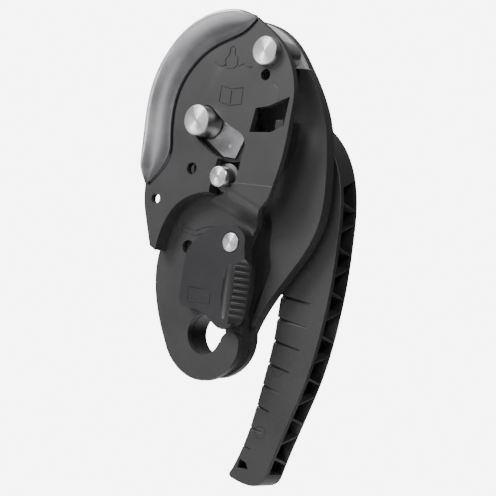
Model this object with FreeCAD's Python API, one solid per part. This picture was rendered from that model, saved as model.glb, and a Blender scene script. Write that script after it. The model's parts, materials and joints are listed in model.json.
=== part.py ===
import FreeCAD, Part
import math
import os

os.makedirs("parts", exist_ok=True)

# A self-braking belay and descent device.  X runs across the side plates, Y is the
# axis of every pin and grows from the moving plate towards the handle, and Z runs up
# the long axis.  The origin is the centre of the attachment eye.

# Driving dimensions, in millimetres.
EYE_R = 8.5                       # attachment hole
FOOT_R = 18.0                     # round foot of the fixed plate
LUG_R = 16.8                      # raised lug round the attachment hole
CAM_X, CAM_Z = -9.5, 86.8         # axle of the cam and the handle
PIVOT_X, PIVOT_Z = 18.4, 117.3    # pin on which the moving plate swings
STUD_X, STUD_Z = 3.9, 64.9        # latch stud of the moving plate
GATE_X, GATE_Z = 11.1, 39.0       # gate hinge rivet
SHEET = 3.0                       # side plate thickness
UPPER_Y = -16.5                   # front face of the moving plate, rope half
LOWER_Y = -9.0                    # front face of the moving plate, attachment half
FIXED_Y = 1.0                     # inner face of the fixed plate
PAD_Y = -1.5                      # raised pad of the fixed plate
LUG_Y = -5.5                      # raised lug round the eye
AXLE_HEAD_R, AXLE_R = 6.4, 5.0
PIVOT_HEAD_R, PIVOT_R = 6.0, 4.0
SLEEVE_R = 5.8                    # spacer sleeve on the pivot pin
STUD_R, STUD_WASHER_R = 4.3, 6.0
GATE_RIVET_R = 4.0
SWING_DEG = 25.0                  # travel of the moving plate
RUN = 0.05                        # radial running clearance on a pin
GRIP_Y, GRIP_DEPTH = 7.0, 12.5    # handle behind the fixed plate
CAM_FRONT, CAM_BACK = -11.0, 0.4
FIXED_BACK = FIXED_Y + SHEET
UPPER_BACK, LOWER_BACK = UPPER_Y + SHEET, LOWER_Y + SHEET
GRIP_BACK = GRIP_Y + GRIP_DEPTH
AXIS = FreeCAD.Vector(0, 1, 0)


def at(x, y, z):
    return FreeCAD.Vector(x, y, z)


def pin(x, z, radius, y0, y1):
    return Part.makeCylinder(radius, y1 - y0, at(x, y0, z), AXIS)


def ring(x, z, outer, inner, y0, y1):
    return pin(x, z, outer, y0, y1).cut(pin(x, z, inner, y0 - 1, y1 + 1))


def coil(x, z, radius, wire, y0, turns):
    """A closely wound spring, one torus a turn, all touching."""
    shape = None
    for turn in range(turns):
        torus = Part.makeTorus(radius, wire, at(x, y0 + wire + turn * wire * 1.8, z), AXIS)
        shape = torus if shape is None else shape.fuse(torus)
    return shape


def slab(points, y0, y1):
    """Straight-sided outline, extruded from y0 to y1."""
    corners = [at(x, y0, z) for x, z in points]
    face = Part.Face(Part.makePolygon(corners + corners[:1]))
    return face.extrude(at(0, y1 - y0, 0))


def curve(points, y):
    line = Part.BSplineCurve()
    line.interpolate([at(x, y, z) for x, z in points])
    return line.toShape()


def curved_slab(runs, y0, y1):
    """Outline of smooth runs that meet at corners, extruded from y0 to y1."""
    edges = []
    for run in runs:
        if len(run) == 2:
            edges.append(Part.makeLine(at(run[0][0], y0, run[0][1]), at(run[1][0], y0, run[1][1])))
        else:
            edges.append(curve(run, y0))
    return Part.Face(Part.Wire(edges)).extrude(at(0, y1 - y0, 0))


def sector(x, z, outer, inner, start, end, y0, y1):
    """Part of a ring between two angles, measured in degrees from +X towards +Z."""
    def spot(radius, angle):
        turn = math.radians(angle)
        return at(x + radius * math.cos(turn), y0, z + radius * math.sin(turn))
    middle = (start + end) / 2
    outside = Part.Arc(spot(outer, start), spot(outer, middle), spot(outer, end)).toShape()
    inside = Part.Arc(spot(inner, end), spot(inner, middle), spot(inner, start)).toShape()
    sides = [Part.makeLine(spot(outer, end), spot(inner, end)),
             Part.makeLine(spot(inner, start), spot(outer, start))]
    wire = Part.Wire([outside, sides[0], inside, sides[1]])
    return Part.Face(wire).extrude(at(0, y1 - y0, 0))


def save(shape, name):
    shape.removeSplitter().exportStep("parts/" + name + ".step")


# ---- fixed side plate: a forged plate with a raised pad and a lug round the eye
FIXED_RIGHT = [(-6, 132), (6, 131), (17, 125.5), (27.5, 114), (35.5, 102), (40, 92.5), (43, 80),
               (44.6, 64.5), (43.8, 51), (38.3, 37.7), (30.8, 26.4), (24, 16), (FOOT_R, 3)]
FIXED_FOOT = [(FOOT_R, 3), (12.5, -13), (0, -FOOT_R), (-12.5, -13), (-20, -4)]
FIXED_LEFT = [(-20, -4), (-28, 18), (-31, 35), (-34, 55), (-36.5, 75), (-37, 95), (-32.5, 111),
              (-22, 124.5), (-6, 132)]
PAD_LEFT = [(17.4, 6), (22, 23.5), (23.8, 31), (21.4, 39), (21.5, 47.4), (18.7, 54.6)]
CHEEK_FOOT_Z = 113.0
outline = [FIXED_RIGHT, FIXED_FOOT, FIXED_LEFT]
fixed = curved_slab(outline, FIXED_Y, FIXED_BACK)
pad = curved_slab(outline, PAD_Y, FIXED_Y)
pad = pad.common(slab(PAD_LEFT + [(24.5, 62), (24.5, CHEEK_FOOT_Z), (60, CHEEK_FOOT_Z), (60, 6)],
                      PAD_Y, FIXED_Y))
lug = pin(0, 0, LUG_R, LUG_Y, FIXED_Y)
fixed = fixed.fuse(pad).fuse(lug).cut(pin(0, 0, EYE_R, LUG_Y - 1, FIXED_BACK + 1))
fixed = fixed.cut(pin(CAM_X, CAM_Z, AXLE_R, PAD_Y - 1, FIXED_BACK + 1))
fixed = fixed.cut(pin(PIVOT_X, PIVOT_Z, PIVOT_R, PAD_Y - 1, FIXED_BACK + 1))

# ---- steel cheek on the fixed plate, where the braking rope rubs
CHEEK_FRONT = -1.7
CHEEK_SHARE = 0.99                # the cheek stops just inside the plate's edge
CHEEK_MID_Z = 66.0
CAM_ROOM_R = 19.0                # the cam turns clear of the cheek


def inside_edge(points):
    return [(x * CHEEK_SHARE, CHEEK_MID_Z + (z - CHEEK_MID_Z) * CHEEK_SHARE) for x, z in points]


cheek_line = inside_edge(FIXED_LEFT[3:])
cheek_right = inside_edge(FIXED_RIGHT[:4])
cheek_inner = [(19.5, CHEEK_FOOT_Z), (6, 114), (-8, 113), (-20, 105), (-24, 92), (-23.5, 75), (-21, 56)]
cheek = curved_slab([cheek_line, cheek_right, [cheek_right[-1], (29, CHEEK_FOOT_Z)],
                     [(29, CHEEK_FOOT_Z), cheek_inner[0]], cheek_inner,
                     [cheek_inner[-1], cheek_line[0]]], CHEEK_FRONT, FIXED_Y)
cheek = cheek.cut(pin(PIVOT_X, PIVOT_Z, PIVOT_R, CHEEK_FRONT - 1, FIXED_Y + 1))
cheek = cheek.cut(pin(CAM_X, CAM_Z, CAM_ROOM_R, CHEEK_FRONT - 1, FIXED_Y + 1))
CHEEK_RIVETS = [(-3, 121), (-27.5, 104), (-29, 66)]
CHEEK_RIVET_R = 2.0
rivets = None
for x, z in CHEEK_RIVETS:
    hole = pin(x, z, CHEEK_RIVET_R, CHEEK_FRONT, FIXED_BACK)
    cheek = cheek.cut(hole)
    fixed = fixed.cut(hole)
    head = pin(x, z, 3.2, FIXED_BACK, FIXED_BACK + 0.8)
    rivets = hole.fuse(head) if rivets is None else rivets.fuse(hole).fuse(head)
save(cheek, "wear_cheek")
save(rivets, "cheek_rivets")

# ---- fixed friction shoe: the cam traps the rope against it
SHOE_INNER, SHOE_OUTER = 33.5, 37.5
SHOE_START, SHOE_END = -22, 6     # degrees round the axle
SHOE_FRONT = UPPER_BACK + 0.5
SHOE_RIVET_R, SHOE_RIVET_DEPTH = 1.2, 6.0
shoe = sector(CAM_X, CAM_Z, SHOE_OUTER, SHOE_INNER, SHOE_START, SHOE_END, SHOE_FRONT, PAD_Y)
shoe_rivets = None
for angle in (-16, 0):
    x = CAM_X + (SHOE_INNER + SHOE_OUTER) / 2 * math.cos(math.radians(angle))
    z = CAM_Z + (SHOE_INNER + SHOE_OUTER) / 2 * math.sin(math.radians(angle))
    shank = pin(x, z, SHOE_RIVET_R, PAD_Y - SHOE_RIVET_DEPTH, FIXED_BACK)
    shoe = shoe.cut(shank)
    fixed = fixed.cut(shank)
    one = shank.fuse(pin(x, z, SHOE_RIVET_R * 2, FIXED_BACK, FIXED_BACK + 0.9))
    shoe_rivets = one if shoe_rivets is None else shoe_rivets.fuse(one)
save(shoe, "friction_shoe")
save(shoe_rivets, "shoe_rivets")
save(fixed, "fixed_side_plate")

# ---- moving side plate: pressed so that its rope half stands further out
STEP_TOP = [(-29, 33), (-27, 42), (-20, 54), (-9, 60), (-2, 61), (5, 59.5), (15, 59), (28.4, 59)]
STEP_FOOT = [(-25.9, 31.5), (-24, 41), (-18, 51.4), (-8.3, 57), (-2, 58), (5, 56.5), (15, 56),
             (26.6, 56)]
UPPER_RIGHT = [(9, 131.5), (17.8, 126), (25.7, 119.3), (29.9, 113), (33.4, 102), (33.4, 92),
               (32.8, 82), (31.8, 74), (30, 66), (28.4, 59)]
UPPER_LEFT = [(-29, 33), (-33.4, 45), (-35.5, 53), (-36, 63), (-37, 80), (-36.5, 95), (-33, 107),
              (-25, 119), (-13, 128.5), (-2, 132), (9, 131.5)]
LOWER_LEFT = [(-29, 33), (-29.8, 26), (-29.2, 18), (-25.5, 5.5), (-19.5, -6.5)]
LOWER_FOOT = [(-19.5, -6.5), (-11, -15.8), (0.5, -19.2), (11.5, -15.4), (18.2, -5)]
LOWER_RIGHT = [(18.2, -5), (17, 20)]
step_ends = [[STEP_TOP[-1], STEP_FOOT[-1]], [STEP_FOOT[0], STEP_TOP[0]]]
upper = curved_slab([UPPER_LEFT, UPPER_RIGHT, step_ends[0], STEP_FOOT[::-1], step_ends[1]],
                    UPPER_Y, UPPER_BACK)
wall = curved_slab([STEP_TOP, step_ends[0], STEP_FOOT[::-1], step_ends[1]], UPPER_Y, LOWER_BACK)
NECK = [(21.5, 50), (18.5, 45.5), (15.7, 36), (17, 20)]
lower = curved_slab([STEP_TOP, [STEP_TOP[-1], NECK[0]], NECK[:2], NECK[1:3], NECK[2:],
                     LOWER_RIGHT[::-1], LOWER_FOOT[::-1], LOWER_LEFT[::-1]], LOWER_Y, LOWER_BACK)
# sloping web that leads the right-hand strip down to the attachment half
WEB_TOP_Z, WEB_FOOT_Z = 58.5, 47.0
WEB_X, WEB_BACK = 4.0, LOWER_Y + 1
web_side = [at(WEB_X, UPPER_Y, WEB_TOP_Z), at(WEB_X, WEB_BACK, WEB_FOOT_Z),
            at(WEB_X, WEB_BACK, WEB_TOP_Z)]
web = Part.Face(Part.makePolygon(web_side + web_side[:1])).extrude(at(30, 0, 0))
web = web.common(slab([(WEB_X, 40), (18.2, 45.5), (21.4, 50), (28.2, 59), (28.2, 61), (WEB_X, 61)],
                      UPPER_Y, WEB_BACK))
moving = upper.fuse(wall).fuse(lower).fuse(web)
TIP_X, TIP_Z, TIP_R = 13.4, -2.2, 4.7
THROAT = [(0, 0), (8, -2.2), (30, -2.2), (30, 30), (15.8, 33), (13.5, 36), (9, 27), (3.5, 17), (-2, 8)]
moving = moving.cut(slab(THROAT, LOWER_Y - 1, LOWER_BACK + 1))
moving = moving.fuse(pin(TIP_X, TIP_Z, TIP_R, LOWER_Y, LOWER_BACK))
moving = moving.cut(pin(0, 0, EYE_R, LOWER_Y - 1, LOWER_BACK + 1))
# slot along which the cam axle passes while the plate swings, and the stud's pocket
AXLE_REACH = math.hypot(CAM_X - PIVOT_X, CAM_Z - PIVOT_Z)
AXLE_ANGLE = math.degrees(math.atan2(CAM_Z - PIVOT_Z, CAM_X - PIVOT_X)) + 360
SLOT_HALF = AXLE_HEAD_R + 0.5
PLATE_FRONT, PLATE_BACK = UPPER_Y - 1, UPPER_BACK + 1
slot = sector(PIVOT_X, PIVOT_Z, AXLE_REACH + SLOT_HALF, AXLE_REACH - SLOT_HALF,
              AXLE_ANGLE, AXLE_ANGLE + SWING_DEG, PLATE_FRONT, PLATE_BACK)
for angle in (AXLE_ANGLE, AXLE_ANGLE + SWING_DEG):
    x = PIVOT_X + AXLE_REACH * math.cos(math.radians(angle))
    z = PIVOT_Z + AXLE_REACH * math.sin(math.radians(angle))
    slot = slot.fuse(pin(x, z, SLOT_HALF, PLATE_FRONT, PLATE_BACK))
pocket = slab([(0, 72), (-1, 66), (10.6, 62.5), (11.4, 68), (12.6, 80), (8, 80)], PLATE_FRONT, PLATE_BACK)
pocket = pocket.fuse(pin(STUD_X, STUD_Z, 5.4, PLATE_FRONT, PLATE_BACK + 6))
window = slab([(15.8, 94.2), (22, 95.4), (31.8, 99.8), (30.6, 88), (24.9, 85), (14.2, 84.2)],
              PLATE_FRONT, PLATE_BACK)
moving = moving.cut(slot).cut(pocket).cut(window)
for x, z, radius in ((-12.5, 67, 2.5), (-29.3, 52.9, 2.2), (18.3, 107.9, 2.3)):
    moving = moving.cut(pin(x, z, radius, PLATE_FRONT, PLATE_BACK))
moving = moving.cut(pin(-14.7, 34.7, 2.8, LOWER_Y - 1, LOWER_BACK + 1))
moving = moving.cut(pin(PIVOT_X, PIVOT_Z, PIVOT_R + RUN, PLATE_FRONT, PLATE_BACK))
moving = moving.cut(pin(GATE_X, GATE_Z, 2.5, LOWER_Y - 1, LOWER_BACK + 1))

# ---- flared steel rim riveted on the moving plate, mirror of the cheek
RIM_FRONT = -20.5
RIM_OUTER = [(-35.5, 58.5), (-37.5, 63), (-38.6, 75), (-39, 94), (-36.5, 106), (-30.5, 117.3),
             (-23, 125.8), (-13, 131.8), (-3, 134), (6, 133.6), (10.5, 131)]
RIM_INNER = [(10.5, 131), (7, 126), (0, 122.5), (-8, 119.3), (-16, 113.7), (-23, 104.5), (-26.3, 94.5),
             (-26.2, 82.7), (-24.4, 75), (-25.5, 68.5), (-30, 64), (-35.5, 58.5)]
rim = curved_slab([RIM_OUTER, RIM_INNER], RIM_FRONT, UPPER_Y)
rim_rivets = None
for x, z in ((-31.5, 72), (-31, 95), (-19.5, 121.5), (-3, 128)):
    shank = pin(x, z, 1.8, RIM_FRONT + 1.5, UPPER_BACK)
    rim = rim.cut(shank)
    moving = moving.cut(shank)
    rim_rivets = shank if rim_rivets is None else rim_rivets.fuse(shank)
moving = moving.cut(pin(STUD_X, STUD_Z, STUD_WASHER_R, UPPER_BACK, LOWER_BACK))
save(rim, "wear_rim")
save(rim_rivets, "rim_rivets")
save(moving, "moving_side_plate")

# ---- latch stud with its shoulder washer, carried by the moving plate
STUD_BACK = CAM_FRONT - 1.3
washer = ring(STUD_X, STUD_Z, STUD_WASHER_R, 3.0, UPPER_BACK, STUD_BACK)
stud = pin(STUD_X, STUD_Z, STUD_R, -20.0, UPPER_BACK)
save(stud.fuse(pin(STUD_X, STUD_Z, 3.0, UPPER_BACK, STUD_BACK)), "latch_stud")
save(washer, "stud_washer")

# ---- pivot post of the moving plate, and the sleeve that spaces the plates
post = pin(PIVOT_X, PIVOT_Z, PIVOT_HEAD_R, UPPER_Y - 3.4, UPPER_Y - 0.15)
post = post.fuse(pin(PIVOT_X, PIVOT_Z, PIVOT_R, UPPER_Y - 0.15, FIXED_BACK))
save(post, "pivot_post")
save(ring(PIVOT_X, PIVOT_Z, SLEEVE_R, PIVOT_R, UPPER_BACK + 0.15, CHEEK_FRONT), "pivot_sleeve")

# ---- gate: moulded lever over the throat of the hook
GATE_FRONT, GATE_BACK = -14.6, LOWER_Y - 0.3
gate = curved_slab([[(18.2, 39), (16.5, 43.8), (11.1, 46), (1.5, 44.2), (-6.5, 38.8), (-10.8, 32)],
                    [(-10.8, 32), (-11.3, 14.5)],
                    [(-11.3, 14.5), (-9, 10.6), (-2.6, 9.9), (5, 7.2), (10.2, 4), (14, 3.6)],
                    [(14, 3.6), (19.6, 9.5), (20.6, 20), (19.6, 31), (18.2, 39)]], GATE_FRONT, GATE_BACK)
thumb = slab([(15.6, 8.5), (18.6, 8.6), (20.2, 20), (19.2, 31), (15.6, 31)], GATE_BACK, -6.2)
gate = gate.fuse(thumb).cut(pin(GATE_X, GATE_Z, 2.5 + RUN, -30, 0))
gate = gate.cut(pin(GATE_X, GATE_Z, GATE_RIVET_R + 0.3, -30, GATE_FRONT + 1.6))
gate = gate.cut(ring(GATE_X, GATE_Z, 5.4, 2.6, GATE_BACK - 2.0, GATE_BACK + 1))
save(gate, "gate")
rivet = pin(GATE_X, GATE_Z, GATE_RIVET_R, GATE_FRONT - 0.4, GATE_FRONT + 1.4)
rivet = rivet.fuse(pin(GATE_X, GATE_Z, 2.5, GATE_FRONT + 1.4, LOWER_BACK))
save(rivet, "gate_rivet")
save(coil(GATE_X, GATE_Z, 3.9, 0.5, GATE_BACK - 1.9, 1), "gate_spring")

# ---- cam axle with its tall turned head, and the screw that holds the handle on
SCREW_R, SCREW_TIP, SCREW_Y = 3.0, GRIP_BACK - 6, GRIP_BACK + 2.6
axle = pin(CAM_X, CAM_Z, AXLE_HEAD_R, UPPER_Y - 5.5, CAM_FRONT - 1.3)
axle = axle.fuse(pin(CAM_X, CAM_Z, AXLE_R, CAM_FRONT - 1.3, SCREW_Y))
axle = axle.cut(pin(CAM_X, CAM_Z, SCREW_R, SCREW_TIP, SCREW_Y + 1))
save(axle, "cam_axle")
WASHER_BACK = SCREW_Y + 0.9
SCREW_BACK = WASHER_BACK + 2.3
SLOT_LONG, SLOT_WIDE, SLOT_DEEP = 9.0, 1.6, 1.1
screw = pin(CAM_X, CAM_Z, SCREW_R, SCREW_TIP, WASHER_BACK)
screw = screw.fuse(pin(CAM_X, CAM_Z, 6.5, WASHER_BACK, SCREW_BACK))
screw = screw.cut(Part.makeBox(SLOT_LONG, SLOT_DEEP + 1, SLOT_WIDE,
                               at(CAM_X - SLOT_LONG / 2, SCREW_BACK - SLOT_DEEP, CAM_Z - SLOT_WIDE / 2)))
save(screw, "axle_screw")
save(ring(CAM_X, CAM_Z, 8.2, SCREW_R, SCREW_Y, WASHER_BACK), "axle_washer")

# ---- cam with its bush, its hardened front cheek and the coil that returns it
CAM_EDGE = [(-24.5, 90), (-21, 99), (-12, 104), (-1, 102), (7.5, 95), (12, 84), (9.5, 73.2), (2, 71.6),
            (-8, 73.2), (-18, 78), (-23.5, 84), (-24.5, 90)]
cam = curved_slab([CAM_EDGE], CAM_FRONT, CAM_BACK)
groove = Part.makeTorus(20.5, 3.2, at(CAM_X + 3, (CAM_FRONT + CAM_BACK) / 2, CAM_Z + 1), AXIS)
cam = cam.cut(groove).cut(pin(CAM_X, CAM_Z, AXLE_R + 1.5, CAM_FRONT - 1, CAM_BACK + 1))
cam = cam.cut(ring(CAM_X, CAM_Z, 11, 7.8, CAM_BACK - 2.2, CAM_BACK + 1))
CATCH_X, CATCH_Z, CATCH_PIN_R = -2.5, 94.5, 1.2
CATCH_Y0, CATCH_Y1 = -8.0, -4.0
well = slab([(-6, 91.5), (-6.5, 106), (11, 106), (11, 92), (3, 90.5)], CATCH_Y0 - 0.4, CATCH_Y1 + 0.4)
cam = cam.cut(well).cut(pin(CATCH_X, CATCH_Z, CATCH_PIN_R, CAM_FRONT + 0.6, CAM_BACK - 2.6))
save(cam, "cam")
save(ring(CAM_X, CAM_Z, AXLE_R + 1.5, AXLE_R + RUN, CAM_FRONT, CAM_BACK), "cam_bush")
WEDGE_FRONT = CAM_FRONT - 1
WEDGE_PIN_R = 1.0
wedge = curved_slab([[(-17, 86.5), (-13, 94), (-7, 94.5)], [(-7, 94.5), (10, 84)], [(10, 84), (5.6, 73.2)],
                     [(5.6, 73.2), (-0.4, 73.6)], [(-0.4, 73.6), (-10, 79.6)], [(-10, 79.6), (-17, 86.5)]],
                    WEDGE_FRONT, CAM_FRONT)
wedge = wedge.cut(pin(CAM_X, CAM_Z, AXLE_HEAD_R + 0.4, WEDGE_FRONT - 1, CAM_FRONT + 1))
wedge_pins = None
for x, z in ((-1.5, 87.5), (2, 78)):
    shank = pin(x, z, WEDGE_PIN_R, WEDGE_FRONT, CAM_FRONT)
    wedge = wedge.cut(shank)
    wedge_pins = shank if wedge_pins is None else wedge_pins.fuse(shank)
save(wedge, "cam_cheek")
save(wedge_pins, "cam_cheek_pins")
save(coil(CAM_X, CAM_Z, 9.4, 0.7, CAM_BACK - 1.9, 1), "cam_spring")

# ---- anti-error catch in the cam, on its own pin and coil
catch = ring(CATCH_X, CATCH_Z, 2.6, CATCH_PIN_R + RUN, CATCH_Y0, CATCH_Y1)
finger = slab([(CATCH_X + 1.8, CATCH_Z - 1.5), (7.5, 94.5), (9, 97), (6.5, 98.4),
               (CATCH_X + 0.5, CATCH_Z + 2.4)], CATCH_Y0, CATCH_Y1)
catch = catch.fuse(finger).cut(pin(CATCH_X, CATCH_Z, CATCH_PIN_R + RUN, CATCH_Y0 - 1, CATCH_Y1 + 1))
save(catch, "error_catch")
save(pin(CATCH_X, CATCH_Z, CATCH_PIN_R, CAM_FRONT + 0.6, CAM_BACK - 2.6), "catch_pin")
save(coil(CATCH_X, CATCH_Z, 1.75, 0.15, CATCH_Y1 + 0.03, 1), "catch_spring")

# ---- handle: moulded grip, steel drive plate, rivets, return coil and hub button
GRIP_OUT = [(-9.5, 101.8), (10, 100), (27, 93), (37.5, 84.6), (44.2, 73.5), (47.6, 60), (48.4, 46),
            (48.4, 31), (46.8, 11), (43.3, -9.5), (37.2, -29.5), (29.5, -54)]
GRIP_END = [(29.5, -54), (27.5, -57.6), (14, -58.4), (11, -57), (11.8, -54.5)]
GRIP_IN = [(11.8, -54.5), (18.2, -36), (21.5, -17.5), (23.9, 1), (24.4, 20), (24, 36), (18, 56),
           (6, 68), (-6, 72), (-9.5, 71.8)]
hub = pin(CAM_X, CAM_Z, 15, GRIP_Y, GRIP_BACK)
grip = curved_slab([GRIP_OUT, GRIP_END, GRIP_IN, [(-9.5, 71.8), (-9.5, 101.8)]], GRIP_Y, GRIP_BACK)
grip = grip.fuse(hub)
BUTTON_X, BUTTON_Z, BUTTON_R = 12.0, 86.0, 4.5
BUTTON_FLOOR = GRIP_BACK - 5.5
DRIVE_BACK = GRIP_BACK + 2
DRIVE_LINE = [(-9, 98), (20, 92), (33, 80), (27, 72), (8, 76), (-9, 75.6)]
drive = ring(CAM_X, CAM_Z, 12.5, AXLE_R + RUN, GRIP_BACK, DRIVE_BACK)
drive = drive.fuse(slab(DRIVE_LINE, GRIP_BACK, DRIVE_BACK))
drive = drive.cut(pin(CAM_X, CAM_Z, AXLE_R + RUN, GRIP_BACK - 1, DRIVE_BACK + 1))
drive = drive.cut(pin(BUTTON_X, BUTTON_Z, BUTTON_R + 0.3, GRIP_BACK - 1, DRIVE_BACK + 1))
grip = grip.cut(pin(CAM_X, CAM_Z, AXLE_R + RUN, GRIP_Y - 1, GRIP_BACK + 1))
grip = grip.cut(pin(BUTTON_X, BUTTON_Z, BUTTON_R + 0.3, BUTTON_FLOOR, GRIP_BACK + 1))
grip = grip.cut(slab([(15.4, -49.5), (18.6, -50.5), (20, -53), (14.6, -53.2)], GRIP_Y - 1, GRIP_BACK + 1))
grip_rivets = None
for x, z in ((24, 86), (20, 77.5)):
    shank = pin(x, z, 1.8, GRIP_BACK - 8, DRIVE_BACK)
    grip = grip.cut(shank)
    drive = drive.cut(shank)
    one = shank.fuse(pin(x, z, 3.2, DRIVE_BACK, DRIVE_BACK + 0.9))
    grip_rivets = one if grip_rivets is None else grip_rivets.fuse(one)
save(grip, "handle_grip")
save(drive, "drive_plate")
save(grip_rivets, "grip_rivets")
save(coil(CAM_X, CAM_Z, 8.0, 0.8, FIXED_BACK + 0.9, 1), "handle_spring")
save(pin(BUTTON_X, BUTTON_Z, BUTTON_R, GRIP_BACK - 2.8, GRIP_BACK + 3.8), "hub_button")
save(coil(BUTTON_X, BUTTON_Z, 3.2, 0.4, BUTTON_FLOOR + 0.05, 3), "button_spring")
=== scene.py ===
import bpy
import bmesh
import json
import math
from mathutils import Matrix, Vector


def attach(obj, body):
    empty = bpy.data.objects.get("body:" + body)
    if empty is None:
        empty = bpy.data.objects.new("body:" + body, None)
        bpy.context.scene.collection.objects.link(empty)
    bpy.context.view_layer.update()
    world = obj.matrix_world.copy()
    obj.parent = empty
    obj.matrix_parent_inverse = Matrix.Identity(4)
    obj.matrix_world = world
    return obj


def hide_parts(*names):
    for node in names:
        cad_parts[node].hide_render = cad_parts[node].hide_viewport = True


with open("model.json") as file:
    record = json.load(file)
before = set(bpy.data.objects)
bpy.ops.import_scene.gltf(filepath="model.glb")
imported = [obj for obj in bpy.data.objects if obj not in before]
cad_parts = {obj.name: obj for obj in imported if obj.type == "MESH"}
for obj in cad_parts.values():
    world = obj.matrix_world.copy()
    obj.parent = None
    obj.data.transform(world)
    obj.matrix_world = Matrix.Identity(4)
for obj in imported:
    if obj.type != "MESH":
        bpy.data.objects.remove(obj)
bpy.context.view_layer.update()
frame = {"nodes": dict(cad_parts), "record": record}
MM = 0.001


# ---- Camera, floor and light
# A long lens looks at the front from the handle's side, with the device leaning a little.
# Pale paper lies below, and four soft boxes stand in a white room that is brighter on one side.
AIM_RIGHT, AIM_UP = 13.0, 36.2
FLOOR_RADIUS, FLOOR_DROP = 0.8, 0.3
azimuth, lean, distance = math.radians(36), math.radians(8), 0.75
across = Vector((math.cos(azimuth), math.sin(azimuth), 0))
upright = Vector((0, 0, 1))
right = across * math.cos(lean) + upright * math.sin(lean)
up = upright * math.cos(lean) - across * math.sin(lean)
back = right.cross(up)
lens = bpy.data.cameras.new("camera")
camera = bpy.data.objects.new("camera", lens)
bpy.context.collection.objects.link(camera)
target = right * AIM_RIGHT * MM + up * AIM_UP * MM
lens.lens, lens.sensor_width, lens.clip_end = 130.6, 36, 20
turn = Matrix((right, up, back)).transposed().to_4x4()
camera.matrix_world = Matrix.Translation(target + back * distance) @ turn
bpy.context.scene.camera = camera

world = bpy.data.worlds.new("studio")
world.use_nodes = True
nodes, links = world.node_tree.nodes, world.node_tree.links
way, tilt = nodes.new("ShaderNodeTexCoord"), nodes.new("ShaderNodeVectorMath")
sky, room = nodes.new("ShaderNodeMapRange"), nodes["Background"]
paper_white, pick = nodes.new("ShaderNodeBackground"), nodes.new("ShaderNodeMixShader")
tilt.operation = "DOT_PRODUCT"
tilt.inputs[1].default_value = (-0.62, -0.25, 0.74)
sky.inputs["From Min"].default_value, sky.inputs["From Max"].default_value = -0.5, 1.0
sky.inputs["To Min"].default_value, sky.inputs["To Max"].default_value = 0.0, 0.55
links.new(way.outputs["Generated"], tilt.inputs[0])
links.new(tilt.outputs["Value"], sky.inputs["Value"])
links.new(sky.outputs["Result"], room.inputs["Strength"])
room.inputs["Color"].default_value = (1, 1, 1, 1)
paper_white.inputs["Color"].default_value = (1, 1, 1, 1)
paper_white.inputs["Strength"].default_value = 7
links.new(nodes.new("ShaderNodeLightPath").outputs["Is Camera Ray"], pick.inputs["Fac"])
links.new(room.outputs["Background"], pick.inputs[1])
links.new(paper_white.outputs["Background"], pick.inputs[2])
links.new(pick.outputs["Shader"], nodes["World Output"].inputs["Surface"])
bpy.context.scene.world = world


def soft_box(name, place, size, watts, aim=(0, 0, 0.05)):
    """A rectangular lamp of a size in metres, turned to face the device."""
    light = bpy.data.lights.new(name, "AREA")
    light.shape, light.size, light.size_y, light.energy = "RECTANGLE", size[0], size[1], watts
    lamp = bpy.data.objects.new(name, light)
    bpy.context.collection.objects.link(lamp)
    lamp.location = place
    lamp.rotation_euler = (Vector(aim) - Vector(place)).to_track_quat("-Z", "Y").to_euler()


soft_box("key", (-0.5, -0.8, 0.75), (0.45, 0.6), 14)
soft_box("front", (0.0, -1.0, 0.2), (0.4, 0.8), 3.5)
soft_box("edge_light", (-0.7, 0.2, 0.45), (0.2, 0.7), 7)
soft_box("top_light", (0.8, -0.5, 0.8), (0.25, 0.35), 7)

floor_mesh = bpy.data.meshes.new("floor")
shape = bmesh.new()
bmesh.ops.create_circle(shape, cap_ends=True, segments=96, radius=FLOOR_RADIUS)
bmesh.ops.translate(shape, vec=(0, 0, -FLOOR_DROP), verts=shape.verts)
shape.to_mesh(floor_mesh)
shape.free()
floor = bpy.data.objects.new("floor", floor_mesh)
bpy.context.collection.objects.link(floor)
paper = bpy.data.materials.new("pale_floor")
paper.use_nodes = True
paper.node_tree.nodes["Principled BSDF"].inputs["Base Color"].default_value = (0.9, 0.9, 0.9, 1)
paper.node_tree.nodes["Principled BSDF"].inputs["Roughness"].default_value = 0.8
floor_mesh.materials.append(paper)


# ---- Side plates
# Both side plates are pressed from thick aluminium sheet and hard anodised black.
# Their edges are broken in a tumbler, so they catch a fine line of light.
def surface_group(name, build):
    """A shared shader group, filled in by the function that builds it."""
    group = bpy.data.node_groups.new(name, "ShaderNodeTree")
    build(group)
    return group


def grain(group):
    """Speckle for a blasted or moulded surface: a height and a 0 to 1 tint."""
    face = group.interface
    face.new_socket("Scale", in_out="INPUT", socket_type="NodeSocketFloat")
    face.new_socket("Patch Scale", in_out="INPUT", socket_type="NodeSocketFloat")
    face.new_socket("Height", in_out="OUTPUT", socket_type="NodeSocketFloat")
    face.new_socket("Tint", in_out="OUTPUT", socket_type="NodeSocketFloat")
    nodes, links = group.nodes, group.links
    start, end = nodes.new("NodeGroupInput"), nodes.new("NodeGroupOutput")
    place = nodes.new("ShaderNodeTexCoord")
    fine, patch = nodes.new("ShaderNodeTexNoise"), nodes.new("ShaderNodeTexNoise")
    fine.inputs["Detail"].default_value = 3
    patch.inputs["Detail"].default_value = 5
    for noise, socket in ((fine, "Scale"), (patch, "Patch Scale")):
        links.new(place.outputs["Object"], noise.inputs["Vector"])
        links.new(start.outputs[socket], noise.inputs["Scale"])
    links.new(fine.outputs["Fac"], end.inputs["Height"])
    links.new(patch.outputs["Fac"], end.inputs["Tint"])


grain_group = surface_group("grain", grain)


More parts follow.
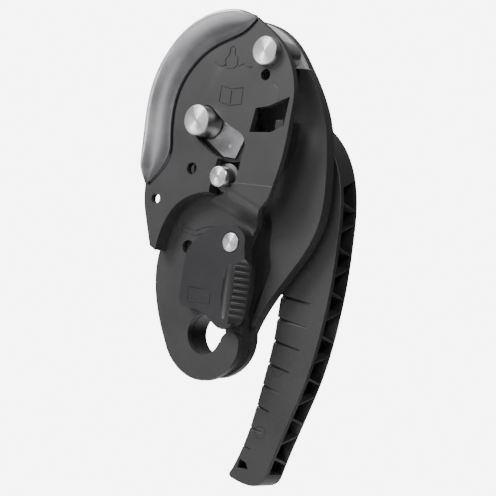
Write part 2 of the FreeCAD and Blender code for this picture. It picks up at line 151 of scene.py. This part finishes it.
def finish(name, light, dark, rough, metal, grain_scale, patch_scale, bump, gloss=0.5):
    """A grained surface whose colour and roughness drift between two values."""
    material = bpy.data.materials.new(name)
    material.use_nodes = True
    nodes, links = material.node_tree.nodes, material.node_tree.links
    shader = nodes["Principled BSDF"]
    speckle = nodes.new("ShaderNodeGroup")
    speckle.node_tree = grain_group
    speckle.inputs["Scale"].default_value = grain_scale
    speckle.inputs["Patch Scale"].default_value = patch_scale
    colours, sheen = nodes.new("ShaderNodeValToRGB"), nodes.new("ShaderNodeMapRange")
    colours.color_ramp.elements[0].position, colours.color_ramp.elements[1].position = 0.35, 0.65
    colours.color_ramp.elements[0].color = (*dark, 1)
    colours.color_ramp.elements[1].color = (*light, 1)
    sheen.inputs["To Min"].default_value, sheen.inputs["To Max"].default_value = rough[0], rough[1]
    links.new(speckle.outputs["Tint"], colours.inputs["Fac"])
    links.new(speckle.outputs["Tint"], sheen.inputs["Value"])
    links.new(colours.outputs["Color"], shader.inputs["Base Color"])
    links.new(sheen.outputs["Result"], shader.inputs["Roughness"])
    ripple = nodes.new("ShaderNodeBump")
    ripple.inputs["Strength"].default_value, ripple.inputs["Distance"].default_value = bump, 0.0001
    links.new(speckle.outputs["Height"], ripple.inputs["Height"])
    links.new(ripple.outputs["Normal"], shader.inputs["Normal"])
    shader.inputs["Metallic"].default_value = metal
    shader.inputs["Specular IOR Level"].default_value = gloss
    return material


anodised = finish("black_anodised", (0.03, 0.03, 0.0315), (0.026, 0.026, 0.0272), (0.4, 0.48), 0.0,
                  2600, 60, 0.25)


def dressed(name, nodes, body, width, material, segments=2, corner=30):
    """The CAD shape with its edges really broken, instead of left sharp."""
    mesh = bpy.data.meshes.new(name)
    shape = bmesh.new()
    for node in nodes:
        shape.from_mesh(frame["nodes"][node].data)
    bmesh.ops.remove_doubles(shape, verts=shape.verts, dist=2e-6)
    bmesh.ops.dissolve_limit(shape, angle_limit=math.radians(2), verts=shape.verts, edges=shape.edges)
    shape.to_mesh(mesh)
    shape.free()
    piece = bpy.data.objects.new(name, mesh)
    bpy.context.collection.objects.link(piece)
    mesh.materials.clear()
    mesh.materials.append(material)
    mesh.polygons.foreach_set("material_index", [0] * len(mesh.polygons))
    mesh.polygons.foreach_set("use_smooth", [True] * len(mesh.polygons))
    edge = piece.modifiers.new("broken_edges", "BEVEL")
    edge.width, edge.segments, edge.limit_method = width * MM, segments, "ANGLE"
    edge.angle_limit, edge.harden_normals = math.radians(corner), False
    shade = piece.modifiers.new("flat_faces", "WEIGHTED_NORMAL")
    shade.keep_sharp = True
    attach(piece, body)
    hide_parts(*nodes)
    return piece


PLATE_EDGE = 0.5
dressed("fixed_plate_dressed", ["fixed_side_plate"], "frame", PLATE_EDGE, anodised)
moving = dressed("moving_plate_dressed", ["moving_side_plate"], "moving_plate", PLATE_EDGE, anodised)


def tool(shape):
    """A cutter's body, used once by carve and then thrown away."""
    mesh = bpy.data.meshes.new("cutter")
    bmesh.ops.recalc_face_normals(shape, faces=shape.faces)
    shape.to_mesh(mesh)
    shape.free()
    cutter = bpy.data.objects.new("cutter", mesh)
    bpy.context.collection.objects.link(cutter)
    return cutter


def carve(piece, cutter, sharp=34):
    """Takes a cutter's volume out of a piece, then shades its faces flat between sharp edges."""
    cut = piece.modifiers.new("cut", "BOOLEAN")
    cut.operation, cut.object, cut.solver, cut.use_self = "DIFFERENCE", cutter, "EXACT", True
    bpy.context.view_layer.update()
    solid = bpy.data.meshes.new_from_object(piece.evaluated_get(bpy.context.evaluated_depsgraph_get()))
    piece.modifiers.clear()
    piece.data = solid
    bpy.data.objects.remove(cutter)
    solid.polygons.foreach_set("use_smooth", [True] * len(solid.polygons))
    solid.set_sharp_from_angle(angle=math.radians(sharp))
    shade = piece.modifiers.new("flat_faces", "WEIGHTED_NORMAL")
    shade.keep_sharp, shade.weight = True, 100


def prism(shape, outline, y0, y1):
    """A straight prism along Y on an outline of (x, z) points in millimetres."""
    face = shape.faces.new([shape.verts.new((x * MM, y0 * MM, z * MM)) for x, z in outline])
    grown = bmesh.ops.extrude_face_region(shape, geom=[face])
    far = [v for v in grown["geom"] if isinstance(v, bmesh.types.BMVert)]
    bmesh.ops.translate(shape, vec=(0, (y1 - y0) * MM, 0), verts=far)


def line_cut(shape, line, width, y0, y1):
    """A groove's cutter along an open line of (x, z) points."""
    left, right = [], []
    for k, (x, z) in enumerate(line):
        before, after = line[max(k - 1, 0)], line[min(k + 1, len(line) - 1)]
        run = Vector((after[0] - before[0], after[1] - before[1])).normalized()
        left.append((x - run.y * width / 2, z + run.x * width / 2))
        right.append((x + run.y * width / 2, z - run.x * width / 2))
    prism(shape, left + right[::-1], y0, y1)


def along(points, count):
    """Evenly spaced stations on a smooth line through the points, in metres."""
    line = bpy.data.curves.new("line", "CURVE")
    line.dimensions = "3D"
    spline = line.splines.new("NURBS")
    spline.points.add(len(points) - 1)
    for point, (x, z) in zip(spline.points, points):
        point.co = (x * MM, 0, z * MM, 1)
    spline.order_u, spline.use_endpoint_u, spline.resolution_u = 3, True, 24
    holder = bpy.data.objects.new("line", line)
    mesh = bpy.data.meshes.new_from_object(holder)
    dots = [v.co.copy() for v in mesh.vertices]
    bpy.data.objects.remove(holder)
    lengths = [0.0]
    for a, b in zip(dots, dots[1:]):
        lengths.append(lengths[-1] + (b - a).length)
    result, k = [], 0
    for step in range(count):
        want = lengths[-1] * step / (count - 1)
        while k < len(dots) - 2 and lengths[k + 1] < want:
            k += 1
        span = max(lengths[k + 1] - lengths[k], 1e-9)
        result.append(dots[k].lerp(dots[k + 1], (want - lengths[k]) / span))
    return result


# The rim is let into a groove, and plain pictures of a rope, a hand and a booklet are engraved.
UPPER_FACE, LOWER_FACE, ENGRAVED, LINE, OVERCUT = -16.5, -9.0, 0.28, 0.42, 0.3
RIM_GROOVE_WIDE, RIM_GROOVE_DEEP, RIM_GROOVE_SHIFT, RIM_GROOVE_STATIONS = 1.3, 1.2, 0.45, 48
RIM_INNER = [(-34.6, 58.9), (-27, 66.4), (-24.4, 74), (-26.2, 82.7), (-26.3, 94.5), (-23, 104.5),
             (-16, 113.7), (-8, 119.3), (0, 122.5), (7, 126), (10.1, 130.6)]
UPPER_PICTURES = [
    [(-8.0, 111.6), (-6.0, 110.2), (-3.8, 110.0), (-2.4, 111.0)],
    [(-2.2, 110.2), (-2.8, 113.2), (-1.2, 115.0), (-0.8, 118.0), (0.6, 118.8), (1.6, 117.6),
     (1.6, 115.2), (3.4, 114.2), (3.6, 111.0), (1.8, 109.4), (-1.4, 109.4)],
    [(4.4, 110.6), (6.6, 111.6), (9.0, 110.2), (11.4, 110.8)],
    [(-3.0, 95.4), (-3.0, 102.0), (2.6, 101.0), (8.2, 102.0), (8.2, 95.2), (2.6, 94.2), (-2.4, 95.1)],
    [(2.6, 100.4), (2.6, 94.9)],
    [(22.4, 104.8), (24.8, 103.2), (26.4, 100.8), (26.6, 97.6)]]
LOWER_PICTURES = [[(-18.2, 44.0), (-18.9, 42.2), (-18.2, 40.4)],
                  [(-17.4, 42.6), (-12.0, 41.6), (-6.6, 43.8), (-2.6, 44.4)],
                  [(-16.8, 40.4), (-12.0, 39.6), (-7.0, 41.4)]]
marks = bmesh.new()
for picture in UPPER_PICTURES:
    line_cut(marks, picture, LINE, UPPER_FACE - OVERCUT, UPPER_FACE + ENGRAVED)
for picture in LOWER_PICTURES:
    line_cut(marks, picture, LINE, LOWER_FACE - OVERCUT, LOWER_FACE + ENGRAVED)
groove = [(spot.x / MM + RIM_GROOVE_SHIFT, spot.z / MM - RIM_GROOVE_SHIFT)
          for spot in along(RIM_INNER, RIM_GROOVE_STATIONS)]
line_cut(marks, groove, RIM_GROOVE_WIDE, UPPER_FACE - OVERCUT, UPPER_FACE + RIM_GROOVE_DEEP)

# The flat web between the plate's two levels comes out, front and back, for the pressed shoulder.
SHOULDER_TOP = 61.9
prism(marks, [(-2.0, 45.5), (-2.0, 60.9), (-0.8, 62.2), (8.6, 62.2), (9.6, SHOULDER_TOP),
              (31, SHOULDER_TOP), (31, 45.5)], UPPER_FACE - 1, LOWER_FACE - 0.01)
carve(moving, tool(marks))
behind = bmesh.new()
prism(behind, [(8, 61.0), (31, 61.0), (31, 46.2), (19.3, 46.2), (8, 55)], LOWER_FACE - 1, LOWER_FACE + 4)
carve(moving, tool(behind))


def new_piece(name, shape, body, material):
    """Turns a finished bmesh into a piece that rides on a body."""
    mesh = bpy.data.meshes.new(name)
    bmesh.ops.recalc_face_normals(shape, faces=shape.faces)
    for face in shape.faces:
        face.smooth = True
    shape.to_mesh(mesh)
    shape.free()
    piece = bpy.data.objects.new(name, mesh)
    bpy.context.collection.objects.link(piece)
    mesh.materials.append(material)
    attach(piece, body)
    return piece


# ---- Pressed shoulder
# Part of the same aluminium pressing as the moving plate, and anodised black with it.
# One smooth fold carries the right-hand strip down to the attachment half.
def eased(share):
    """Goes from 0 to 1 with a level start and a level end."""
    share = min(max(share, 0.0), 1.0)
    return share * share * (3 - 2 * share)


SHOULDER_LEFT = [(9.9, 63.4), (8.4, 60.4), (6.2, 58.6), (3.0, 57.5), (-0.5, 57.3), (-3.2, 56.9),
                 (-6.0, 55.4), (-8.6, 53.0)]
SHOULDER_RIGHT = [(29.35, 63.4), (28.3, 58.9), (26.2, 56.2), (24.4, 53.8), (22.9, 51.9),
                  (21.5, 50.0), (19.6, 47.0), (17.7, 43.6)]
FOLD_FROM, FOLD_WAY, FOLD_LONG = (-8.0, 54.5), (0.351, 0.936), 12.0
ROWS, COLUMNS = 40, 56
PROUD, SHOULDER_SHEET, SHOULDER_EDGE = 0.02, 3.2, 0.4
shoulder = bmesh.new()
bmesh.ops.create_grid(shoulder, x_segments=COLUMNS - 1, y_segments=ROWS - 1, size=0.5)
left_line, right_line = along(SHOULDER_LEFT, ROWS), along(SHOULDER_RIGHT, ROWS)
for vert in shoulder.verts:
    down = round((0.5 - vert.co.y) * (ROWS - 1))
    spot = left_line[down].lerp(right_line[down], vert.co.x + 0.5)
    x, z = spot.x / MM, spot.z / MM
    share = ((x - FOLD_FROM[0]) * FOLD_WAY[0] + (z - FOLD_FROM[1]) * FOLD_WAY[1]) / FOLD_LONG
    depth = LOWER_FACE + PROUD + (UPPER_FACE - 2 * PROUD - LOWER_FACE) * eased(share)
    vert.co = (spot.x, depth * MM, spot.z)
web = new_piece("pressed_shoulder", shoulder, "moving_plate", anodised)
if web.data.polygons[0].normal.y > 0:
    web.data.flip_normals()
thick = web.modifiers.new("sheet", "SOLIDIFY")
thick.thickness, thick.offset = SHOULDER_SHEET * MM, -1
edge = web.modifiers.new("broken_edges", "BEVEL")
edge.width, edge.segments = SHOULDER_EDGE * MM, 2
edge.limit_method, edge.angle_limit = "ANGLE", math.radians(50)


# ---- Flared steel rim and fixed cheek
# Stainless sheet, deep drawn to a lip that stands out and turns back, then riveted on.
# It is blasted fine, and its colour is painted lighter towards the crest as a painted highlight and darker at
# the foot as painted shade.
RIM_OUTER = [(-35.5, 58.5), (-37.5, 63), (-38.6, 75), (-39, 94), (-36.5, 106), (-30.5, 117.3),
             (-23, 125.8), (-13, 131.8), (-3, 134), (6, 133.6), (10.5, 131)]
RIM_SECTION = [(0.03, -16.75), (0.06, -16.9), (0.2, -16.95), (0.35, -17.15), (0.5, -17.7), (0.62, -18.5),
               (0.72, -19.4), (0.78, -20.0), (0.83, -20.4), (0.87, -20.5),
               (0.91, -20.35), (0.95, -19.8), (0.975, -19.0),
               (0.99, -18.0), (0.99, -16.9)]
RIM_STATIONS, FULL_HEIGHT_WIDTH = 72, 8.0


def lip(name, outer, inner, section, body, material, nodes, wall=1.1):
    """A drawn lip: the section's first figure goes from the inner to the outer line, its second is Y."""
    shape = bmesh.new()
    rows = []
    for a, b in zip(along(inner, RIM_STATIONS), along(outer, RIM_STATIONS)):
        row = []
        fullness = min(1.0, (b - a).length / MM / FULL_HEIGHT_WIDTH)
        for share, depth in section:
            spot = a.lerp(b, share)
            height = section[0][1] + (depth - section[0][1]) * fullness
            row.append(shape.verts.new((spot.x, height * MM, spot.z)))
        rows.append(row)
    for row in rows:
        for a, b in zip(row, row[1:]):
            shape.edges.new((a, b))
    for row, after in zip(rows, rows[1:]):
        edges = [shape.edges.get(pair) for one in (row, after) for pair in zip(one, one[1:])]
        bmesh.ops.bridge_loops(shape, edges=edges)
    piece = new_piece(name, shape, body, material)
    thick = piece.modifiers.new("sheet", "SOLIDIFY")
    thick.thickness, thick.offset, thick.use_even_offset = wall * MM, -1, False
    round_off = piece.modifiers.new("edge", "BEVEL")
    round_off.width, round_off.segments, round_off.limit_method = 0.25 * MM, 2, "ANGLE"
    round_off.angle_limit = math.radians(50)
    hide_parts(*nodes)
    return piece


rim_steel = finish("rim_steel", (0.34, 0.34, 0.35), (0.27, 0.27, 0.28), (0.34, 0.46), 1.0, 3200, 90, 0.3)
nodes, links = rim_steel.node_tree.nodes, rim_steel.node_tree.links
place, axes = nodes.new("ShaderNodeTexCoord"), nodes.new("ShaderNodeSeparateXYZ")
height = nodes.new("ShaderNodeMapRange")
# Painted highlight and shade: the base colour is multiplied from 0.4 at the foot to 1.75 at the crest along
# Y.
crest_highlight_foot_shade = nodes.new("ShaderNodeMix")
crest_highlight_foot_shade.data_type, crest_highlight_foot_shade.blend_type = "RGBA", "MULTIPLY"
crest_highlight_foot_shade.inputs["Factor"].default_value = 1.0
SHADE_FOOT, HIGHLIGHT_CREST = -16.9, -20.4
height.inputs["From Min"].default_value = SHADE_FOOT * MM
height.inputs["From Max"].default_value = HIGHLIGHT_CREST * MM
height.inputs["To Min"].default_value, height.inputs["To Max"].default_value = 0.4, 1.75
links.new(place.outputs["Object"], axes.inputs["Vector"])
links.new(axes.outputs["Y"], height.inputs["Value"])
shader = nodes["Principled BSDF"]
tint = shader.inputs["Base Color"].links[0].from_socket
links.new(tint, crest_highlight_foot_shade.inputs[6])
links.new(height.outputs["Result"], crest_highlight_foot_shade.inputs[7])
links.new(crest_highlight_foot_shade.outputs[2], shader.inputs["Base Color"])
lip("flared_rim", RIM_OUTER, RIM_INNER, RIM_SECTION, "moving_plate", rim_steel, ["wear_rim"])
# Painted light: the cheek's steel is paler and less metallic than the rim's, so that it shows bright.
cheek_painted_light = finish("cheek_painted_light", (0.5, 0.5, 0.51), (0.42, 0.42, 0.43), (0.42, 0.52), 0.25, 3200, 90, 0.3)
dressed("fixed_cheek", ["wear_cheek"], "frame", 0.8, cheek_painted_light, segments=4)


# ---- Turned pins
# Stainless bar turned on a lathe, each faced off so that its end shows fine rings.
# The cam axle's head is tall enough for the slotted plate to pass behind its rim.
AXLE, POST, STUD, GATE_PIN, BUTTON = (-9.5, 86.8), (18.4, 117.3), (3.9, 64.9), (11.1, 39.0), (12.0, 86.0)
LATHE_STEPS = 72


def turned_steel(name, x, z):
    """Steel faced on a lathe about the pin at x, z: rings round its own centre."""
    material = bpy.data.materials.new(name)
    material.use_nodes = True
    nodes, links = material.node_tree.nodes, material.node_tree.links
    shader = nodes["Principled BSDF"]
    shader.inputs["Metallic"].default_value = 1.0
    place, shift = nodes.new("ShaderNodeTexCoord"), nodes.new("ShaderNodeMapping")
    shift.inputs["Location"].default_value = (-x * MM, 0, -z * MM)
    shift.inputs["Scale"].default_value = (1, 0.02, 1)
    rings = nodes.new("ShaderNodeTexWave")
    rings.wave_type, rings.rings_direction = "RINGS", "SPHERICAL"
    rings.inputs["Scale"].default_value = 900
    rings.inputs["Distortion"].default_value = 1.0
    rings.inputs["Detail"].default_value = 2
    links.new(place.outputs["Object"], shift.inputs["Vector"])
    links.new(shift.outputs["Vector"], rings.inputs["Vector"])
    colours = nodes.new("ShaderNodeValToRGB")
    colours.color_ramp.elements[0].color = (0.5, 0.5, 0.51, 1)
    colours.color_ramp.elements[1].color = (0.66, 0.66, 0.66, 1)
    links.new(rings.outputs["Fac"], colours.inputs["Fac"])
    links.new(colours.outputs["Color"], shader.inputs["Base Color"])
    ripple = nodes.new("ShaderNodeBump")
    ripple.inputs["Strength"].default_value, ripple.inputs["Distance"].default_value = 0.8, 0.00006
    links.new(rings.outputs["Fac"], ripple.inputs["Height"])
    links.new(ripple.outputs["Normal"], shader.inputs["Normal"])
    shader.inputs["Roughness"].default_value = 0.3
    return material


def turned(name, body, node, x, z, outline, slot="turned_steel", material=None):
    """Spins an outline of (radius, y) points in millimetres about the pin at x, z."""
    shape = bmesh.new()
    dots = [shape.verts.new((x * MM + radius * MM, y * MM, z * MM)) for radius, y in outline]
    edges = [shape.edges.new(pair) for pair in zip(dots, dots[1:])]
    bmesh.ops.spin(shape, geom=dots + edges, cent=(x * MM, 0, z * MM), axis=(0, 1, 0),
                   angle=math.tau, steps=LATHE_STEPS, use_merge=True, use_duplicate=False)
    bmesh.ops.remove_doubles(shape, verts=shape.verts, dist=1e-6)
    piece = new_piece(name, shape, body, material or turned_steel(name + "_steel", x, z))
    keep = piece.modifiers.new("crisp", "EDGE_SPLIT")
    keep.split_angle = math.radians(38)
    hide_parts(node)
    return piece


turned("axle_turned", "frame", "cam_axle", *AXLE,
       [(0, -22.0), (2.2, -22.05), (5.7, -22.0), (6.15, -21.85), (6.4, -21.4), (6.4, -12.3), (5.0, -12.3),
        (5.0, 22.0), (0, 22.0)])
turned("post_turned", "frame", "pivot_post", *POST,
       [(0, -19.9), (5.2, -19.9), (5.7, -19.75), (6.0, -19.3), (6.0, -16.65),
        (4.0, -16.65), (4.0, 4.0), (0, 4.0)])
turned("stud_turned", "moving_plate", "latch_stud", *STUD,
       [(0, -20.0), (3.6, -20.0), (4.05, -19.85), (4.3, -19.5), (4.3, -13.5),
        (3.0, -13.5), (3.0, -12.3), (0, -12.3)])
# Painted shade: the stud's shoulder washer is coloured dark instead of bright turned steel.
turned("stud_shoulder", "moving_plate", "stud_washer", *STUD,
       [(3.0, -13.5), (5.6, -13.5), (6.0, -13.2), (6.0, -12.5), (5.8, -12.3), (3.0, -12.3), (3.0, -13.5)],
       material=finish("shoulder_painted_shade", (0.08, 0.08, 0.082), (0.06, 0.06, 0.062), (0.4, 0.5), 0.8,
                       1500, 150, 0.3))
turned("gate_pin_turned", "moving_plate", "gate_rivet", *GATE_PIN,
       [(0, -15.0), (3.5, -15.0), (3.85, -14.9), (4.0, -14.6), (4.0, -13.2),
        (2.5, -13.2), (2.5, -6.0), (0, -6.0)])
RIM_RIVETS = [(-31.5, 72), (-31, 95), (-19.5, 121.5), (-3, 128)]
for k, (x, z) in enumerate(RIM_RIVETS):
    turned("rim_rivet_%d" % k, "moving_plate", "rim_rivets", x, z,
           [(0, -16.7), (1.8, -16.7), (1.8, -13.7), (1.6, -13.5), (0, -13.5)])
bodies = frame["record"]["behaviour"]["bodies"]
for rivet_node in ("cheek_rivets", "shoe_rivets", "pivot_sleeve", "cam_cheek_pins",
                   "catch_pin", "axle_washer", "grip_rivets", "drive_plate"):
    body_name = next(b for b, members in bodies.items() if rivet_node in members)
    plain = finish(rivet_node + "_steel", (0.5, 0.5, 0.51), (0.42, 0.42, 0.43), (0.3, 0.42), 1.0,
                   2200, 120, 0.2)
    dressed(rivet_node + "_dressed", [rivet_node], body_name, 0.25, plain)


# ---- Cam, cheek, shoe and catch
# The cam and its cheek are investment cast in hardened steel and ground where they meet.
# The shoe and the little catch are of the same steel; the shoe is coloured near black and matte as painted
# shade for the dark window it shows through.
cast_steel = finish("cast_steel", (0.4, 0.4, 0.41), (0.3, 0.3, 0.31), (0.28, 0.42), 1.0, 1500, 150, 0.5)
dark_steel = finish("dark_cast_steel", (0.04, 0.04, 0.041), (0.03, 0.03, 0.031), (0.4, 0.5), 0.6,
                    1500, 150, 0.5)
dressed("cam_dressed", ["cam"], "cam_group", 0.35, dark_steel)
dressed("cam_cheek_dressed", ["cam_cheek"], "cam_group", 0.3, cast_steel)
# Painted shade: the shoe is near black and matte where it shows through the dark window.
shoe_painted_shade = finish("shoe_painted_shade", (0.01, 0.01, 0.0105), (0.007, 0.007, 0.0073), (0.5, 0.6), 0.0,
                    1500, 150, 0.5)
dressed("shoe_dressed", ["friction_shoe"], "frame", 0.4, shoe_painted_shade)
dressed("catch_dressed", ["error_catch"], "catch_lever", 0.3, cast_steel)
brass = finish("bush_brass", (0.55, 0.4, 0.18), (0.45, 0.33, 0.15), (0.3, 0.4), 1.0, 1800, 100, 0.2)
dressed("bush_dressed", ["cam_bush"], "cam_group", 0.2, brass)


# ---- Gate
# A nylon lever over the mouth of the hook, with a scooped thumb rest beside nine ridges.
# It turns on a steel rivet and a coil under it pushes it shut.
nylon_satin = finish("gate_nylon", (0.02, 0.02, 0.0215), (0.017, 0.017, 0.0185), (0.34, 0.42), 0.0,
                     1800, 45, 0.2)
gate = dressed("gate_dressed", ["gate"], "gate_lever", 1.1, nylon_satin, segments=4)

SCOOP_SIZE, SCOOP_PLACE = (3.0, 2.1, 12.5), (12.7, -15.5, 19.0)
SLOPE_FOOT_Z, SLOPE_LONG, SLOPE_END = 6.0, 24.0, (3.4, -2.9, 5.0)
THUMB_EDGE, THUMB_FOOT = (15.0, -14.9), (19.9, -9.2)
thumb = bmesh.new()
bmesh.ops.create_uvsphere(thumb, u_segments=64, v_segments=32, radius=1.0)
bmesh.ops.scale(thumb, vec=[v * MM for v in SCOOP_SIZE], verts=thumb.verts)
bmesh.ops.translate(thumb, vec=[v * MM for v in SCOOP_PLACE], verts=thumb.verts)
carve(gate, tool(thumb), 50)
slope = bmesh.new()
slope_face = slope.faces.new([slope.verts.new((x * MM, y * MM, SLOPE_FOOT_Z * MM)) for x, y in
                              (THUMB_EDGE, THUMB_FOOT, (23, -9.2), (23, -16.5), (15.0, -16.5))])
grown = bmesh.ops.extrude_face_region(slope, geom=[slope_face])
bmesh.ops.translate(slope, vec=(0, 0, SLOPE_LONG * MM),
                    verts=[v for v in grown["geom"] if isinstance(v, bmesh.types.BMVert)])
upper_end = [f for f in grown["geom"] if isinstance(f, bmesh.types.BMFace)]
grown = bmesh.ops.extrude_face_region(slope, geom=upper_end)
bmesh.ops.delete(slope, geom=upper_end, context="FACES_ONLY")
bmesh.ops.translate(slope, vec=[v * MM for v in SLOPE_END],
                    verts=[v for v in grown["geom"] if isinstance(v, bmesh.types.BMVert)])
carve(gate, tool(slope), 40)
panel = bmesh.new()
line_cut(panel, [(-6.6, 12.8), (-7.0, 18.0), (-6.0, 18.6), (3.6, 18.2), (4.6, 17.2), (4.9, 13.2),
                 (4.1, 12.4), (-5.6, 12.2)], 0.4, -15, -14.35)
carve(gate, tool(panel), 40)
RIDGES, RIDGE_FIRST_Z, RIDGE_STEP, RIDGE_R, RIDGE_LENGTH = 9, 9.4, 2.55, 0.85, 6.4
RIDGE_X, RIDGE_Y, RIDGE_BOW = 17.0, -11.85, 0.5
slope_turn = math.atan2(THUMB_FOOT[1] - THUMB_EDGE[1], THUMB_FOOT[0] - THUMB_EDGE[0])
for k in range(RIDGES):
    ridge = bmesh.new()
    bmesh.ops.create_cone(ridge, segments=20, radius1=RIDGE_R * MM, radius2=RIDGE_R * MM,
                          depth=RIDGE_LENGTH * MM, cap_ends=True)
    bmesh.ops.bevel(ridge, geom=[e for e in ridge.edges if e.calc_face_angle(0) > 1.0], offset=0.4 * MM,
                    segments=3, profile=0.5, affect="EDGES", material=-1)
    for angle, axis in ((math.radians(90), "Y"), (slope_turn, "Z")):
        bmesh.ops.rotate(ridge, matrix=Matrix.Rotation(angle, 3, axis), cent=(0, 0, 0), verts=ridge.verts)
    bow = RIDGE_BOW * math.sin(math.pi * k / (RIDGES - 1))
    place = ((RIDGE_X + bow) * MM, RIDGE_Y * MM, (RIDGE_FIRST_Z + k * RIDGE_STEP) * MM)
    bmesh.ops.translate(ridge, vec=place, verts=ridge.verts)
    new_piece("gate_ridge_%d" % k, ridge, "gate_lever", nylon_satin)


# ---- Handle
# Glass-filled nylon, moulded with a stepped finger face and an open truss on its outer side.
# A steel drive plate is riveted on behind and a turned screw holds both on the axle.
nylon_grained = finish("grip_nylon", (0.026, 0.026, 0.0272), (0.021, 0.021, 0.022), (0.42, 0.52), 0.0,
                       1400, 40, 0.4)
grip = dressed("grip_moulded", ["handle_grip"], "handle", 1.3, nylon_grained,
               segments=4, corner=40)
OUTER_SIDE = [(44.2, 73.5), (47.6, 60), (48.4, 46), (48.4, 31), (46.8, 11), (43.3, -9.5), (37.2, -29.5),
              (29.5, -54)]
FRONT_RAIL_Y, BACK_RAIL_Y, POCKET_DEPTH = 9.2, 18.4, 9.0
PERIOD, RIB_HALF, PERIODS = 18.3, 0.55, 7
FIRST_RIB, RIB_FRONT, RIB_BACK, RIB_BEFORE, POCKET_OVER = 6.0, 6.8, 9.2, 3.6, -3
side = along(OUTER_SIDE, 400)
side_step = sum((b - a).length for a, b in zip(side, side[1:])) / (len(side) - 1) / MM


def side_spot(s, y, depth):
    """A place s millimetres down the outer side, sunk to a depth."""
    k = min(max(int(round(s / side_step)), 1), len(side) - 2)
    way = (side[k + 1] - side[k - 1]).normalized()
    inward = Vector((way.z, 0, -way.x))
    if inward.x > 0:
        inward.negate()
    return side[k] + inward * depth * MM + Vector((0, y * MM, 0))


pockets = bmesh.new()
for k in range(PERIODS):
    s = FIRST_RIB + k * PERIOD
    narrow_front = [(s + RIB_HALF, FRONT_RAIL_Y), (s + RIB_FRONT - RIB_HALF, FRONT_RAIL_Y),
                    (s + RIB_BACK - RIB_HALF, BACK_RAIL_Y), (s - RIB_BEFORE + RIB_HALF, BACK_RAIL_Y)]
    wide_front = [(s + RIB_FRONT + RIB_HALF, FRONT_RAIL_Y), (s + PERIOD - RIB_HALF, FRONT_RAIL_Y),
                  (s + PERIOD - RIB_BEFORE - RIB_HALF, BACK_RAIL_Y), (s + RIB_BACK + RIB_HALF, BACK_RAIL_Y)]
    for corners in (narrow_front, wide_front):
        outer_face = pockets.faces.new([pockets.verts.new(side_spot(a, y, POCKET_OVER)) for a, y in corners])
        grown = bmesh.ops.extrude_face_region(pockets, geom=[outer_face])
        moved = [v for v in grown["geom"] if isinstance(v, bmesh.types.BMVert)]
        drop = side_spot(corners[0][0], 0, POCKET_DEPTH) - side_spot(corners[0][0], 0, POCKET_OVER)
        bmesh.ops.translate(pockets, vec=drop, verts=moved)
carve(grip, tool(pockets), 30)

# Each finger step runs from the inner edge outwards; these ends and the rings were placed one by one.
STEP_ENDS = [((24.1, 19.7), (41.1, 17.9)), ((22.3, 10.7), (39.3, 8.2)), ((21.1, 1.3), (37.3, -1.4)),
             ((18.6, -7.9), (33.8, -11.0)), ((16.4, -16.5), (30.8, -20.2)), ((14.3, -25.2), (26.8, -28.4)),
             ((11.6, -34.2), (24.4, -37.6)), ((8.2, -42.8), (20.0, -45.2))]
FACE_Y, GROOVE_DEEP, SHELF_DEEP, GROOVE_WIDE, RUN_OUT = 7.0, 2.2, 0.9, 1.3, 8.2
RUN_IN, RUN_IN_LIFT, OVER_FACE, FADE = 6.0, 0.8, 0.8, 1.5
steps = bmesh.new()
for (x0, z0), (x1, z1) in STEP_ENDS:
    fall = (z1 - z0) / (x1 - x0)
    start = (x0 - RUN_IN, z0 - RUN_IN * fall + RUN_IN_LIFT)
    section = [(FACE_Y - OVER_FACE, 0.3), (FACE_Y + GROOVE_DEEP, -0.1),
               (FACE_Y + SHELF_DEEP, -GROOVE_WIDE), (FACE_Y - OVER_FACE, -RUN_OUT)]
    wedge = steps.faces.new([steps.verts.new((start[0] * MM, y * MM, (start[1] + h) * MM))
                             for y, h in section])
    grown = bmesh.ops.extrude_face_region(steps, geom=[wedge])
    far = [v for v in grown["geom"] if isinstance(v, bmesh.types.BMVert)]
    reach = x1 - start[0]
    bmesh.ops.translate(steps, vec=(reach * MM, -FADE * MM, reach * fall * MM), verts=far)
carve(grip, tool(steps), 30)
MOULDING_RINGS = [(28.4, -10.2), (23.8, -37.0), (36.6, 35.0)]
RING_R, RING_PARTS = 2.6, 40
moulding = bmesh.new()
for x, z in MOULDING_RINGS:
    turns = [math.tau * k / RING_PARTS for k in range(RING_PARTS - 1)]
    ringed = [(x + RING_R * math.cos(turn), z + RING_R * math.sin(turn)) for turn in turns]
    line_cut(moulding, ringed, 0.35, FACE_Y - 0.5, FACE_Y + 0.18)
carve(grip, tool(moulding), 30)

turned("axle_screw_turned", "frame", "axle_screw", *AXLE,
       [(0, 24.3), (1.6, 24.3), (1.6, 25.3), (5.9, 25.3), (6.35, 25.1), (6.5, 24.7), (6.5, 23.0), (3.0, 23.0),
        (3.0, 13.5), (0, 13.5)])
button_plastic = finish("button_plastic", (0.13, 0.13, 0.135), (0.11, 0.11, 0.115), (0.35, 0.45), 0.0,
                        1600, 60, 0.2)
turned("button_moulded", "button", "hub_button", *BUTTON,
       [(0, 22.9), (2.6, 22.9), (3.2, 23.2), (3.9, 23.3), (4.3, 23.1), (4.5, 22.7), (4.5, 16.7),
        (3.9, 16.7), (3.9, 19.4), (0, 19.4)],
       slot="button_plastic", material=button_plastic)


# ---- Coil springs
# Drawn wire wound closely; each shows as a few round turns under the piece it returns.
# Their shape is the CAD's own, and only the bright steel finish is given here.
wire = finish("spring_wire", (0.4, 0.4, 0.41), (0.32, 0.32, 0.33), (0.25, 0.35), 1.0, 2000, 100, 0.15)
for spring_node in ("gate_spring", "cam_spring", "catch_spring", "handle_spring", "button_spring"):
    coil = frame["nodes"][spring_node].data
    coil.materials.clear()
    coil.materials.append(wire)
